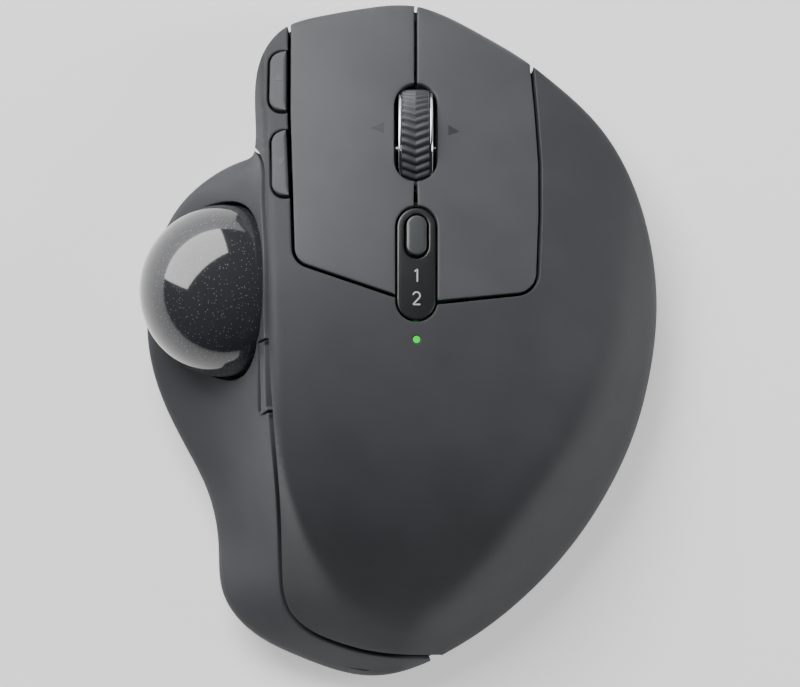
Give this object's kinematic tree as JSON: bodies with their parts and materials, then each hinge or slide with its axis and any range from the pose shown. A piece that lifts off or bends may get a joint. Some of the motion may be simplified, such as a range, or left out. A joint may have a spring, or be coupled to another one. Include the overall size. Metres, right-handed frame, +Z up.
{
  "type": "trackball mouse",
  "caption": "Right-handed trackball mouse with a thumb ball, sculpted palm cover, finger keys, tilting scroll wheel, side keys and a hinged steel base.",
  "frame": {"origin": "on the desk under the middle of the mouse", "axes": "+X to the right, +Y forward towards the finger keys, +Z up"},
  "size_m": [0.1022, 0.132, 0.0513],
  "materials": {
    "soft_touch_graphite": "soft-touch satin",
    "channel_plastic": "satin",
    "ball_polymer": "polished with mica flecks",
    "inner_plastic": "moulded",
    "steel_coated": "black powder coat",
    "steel_bright": "bright",
    "chrome_rim": "polished",
    "rubber_black": "moulded",
    "board_green": "solder mask",
    "clear_lens": "clear",
    "led_green": "glowing",
    "bearing_white": "polished ceramic",
    "battery_foil": "foil"
  },
  "bodies": {
    "base": {"steel_plate": "steel_coated", "sole_pad": "rubber_black", "hinge_pins": "steel_bright"},
    "mouse": {"bottom_shell": "inner_plastic", "thumb_shell": "soft_touch_graphite", "top_cover": "soft_touch_graphite", "channel_plate": "channel_plastic", "ball_cup": "inner_plastic", "cup_bearings": "bearing_white", "sensor_lens": "clear_lens", "sensor_chip": "inner_plastic", "sensor_board": "board_green", "wheel_press_pin": "steel_bright", "wheel_bracket": "inner_plastic", "wheel_click_switch": "inner_plastic", "main_board": "board_green", "left_switch": "inner_plastic", "right_switch": "inner_plastic", "side_bracket": "inner_plastic", "side_switches": "inner_plastic", "precision_bracket": "inner_plastic", "precision_switch": "inner_plastic", "channel_board": "board_green", "channel_switch": "inner_plastic", "status_led": "led_green", "status_light": "led_green", "battery": "battery_foil", "usb_port": "steel_bright", "magnets": "steel_bright", "shell_screws": "steel_bright", "power_switch": "inner_plastic"},
    "left_button": {"left_key": "soft_touch_graphite"},
    "right_button": {"right_key": "soft_touch_graphite"},
    "forward_button": {"forward_key": "soft_touch_graphite"},
    "back_button": {"back_key": "soft_touch_graphite"},
    "precision_button": {"precision_key": "soft_touch_graphite"},
    "channel_push": {"channel_button": "soft_touch_graphite"},
    "power_slide": {"power_slider": "inner_plastic"},
    "wheel_frame": {"wheel_press_frame": "inner_plastic"},
    "wheel_yoke": {"wheel_tilt_yoke": "inner_plastic", "wheel_encoder": "inner_plastic"},
    "wheel": {"wheel_hub": "inner_plastic", "wheel_tyre": "rubber_black", "wheel_rims": "chrome_rim", "wheel_axle": "steel_bright"},
    "ball": {"trackball": "ball_polymer"}
  },
  "joints": [
    {"name": "base_tilt", "type": "hinge", "parent": "base", "child": "mouse", "pos_m": [0.027, 0, 0.0046], "axis": [0, 1, 0], "range_deg": [0, 20]},
    {"name": "left_click", "type": "hinge", "parent": "mouse", "child": "left_button", "pos_m": [-0.009, 0.012, 0.045], "axis": [-1, 0, 0], "range_deg": [0, 0.9], "stiffness_Nm_per_rad": 2},
    {"name": "right_click", "type": "hinge", "parent": "mouse", "child": "right_button", "pos_m": [0.015, 0.012, 0.045], "axis": [-1, 0, 0], "range_deg": [0, 0.9], "stiffness_Nm_per_rad": 2},
    {"name": "forward_click", "type": "slide", "parent": "mouse", "child": "forward_button", "axis": [0, 0, -1], "range_m": [0, 0.0004], "stiffness_N_per_m": 1500},
    {"name": "back_click", "type": "slide", "parent": "mouse", "child": "back_button", "axis": [0, 0, -1], "range_m": [0, 0.0004], "stiffness_N_per_m": 1500},
    {"name": "precision_click", "type": "slide", "parent": "mouse", "child": "precision_button", "axis": [0.8, 0, -0.6], "range_m": [0, 0.0003], "stiffness_N_per_m": 1500},
    {"name": "channel_click", "type": "slide", "parent": "mouse", "child": "channel_push", "axis": [0, 0, -1], "range_m": [0, 0.0004], "stiffness_N_per_m": 1500},
    {"name": "power_switch_slide", "type": "slide", "parent": "mouse", "child": "power_slide", "axis": [0, 1, 0], "range_m": [0, 0.003]},
    {"name": "wheel_click", "type": "hinge", "parent": "mouse", "child": "wheel_frame", "pos_m": [0.0033, 0.02327, 0.03395], "axis": [-1, 0, 0], "range_deg": [0, 1], "stiffness_Nm_per_rad": 3},
    {"name": "wheel_tilt", "type": "hinge", "parent": "wheel_frame", "child": "wheel_yoke", "pos_m": [0.0033, 0.0377, 0.0266], "axis": [0, 0.891, -0.454], "range_deg": [-3, 3], "stiffness_Nm_per_rad": 0.12},
    {"name": "wheel_scroll", "type": "hinge", "parent": "wheel_yoke", "child": "wheel", "pos_m": [0.0033, 0.0377, 0.0266], "axis": [1, 0, 0], "continuous": true},
    {"name": "ball_roll", "type": "hinge", "parent": "mouse", "child": "ball", "pos_m": [-0.0342, 0.01, 0.024], "axis": [0, 1, 0], "continuous": true}
  ]
}
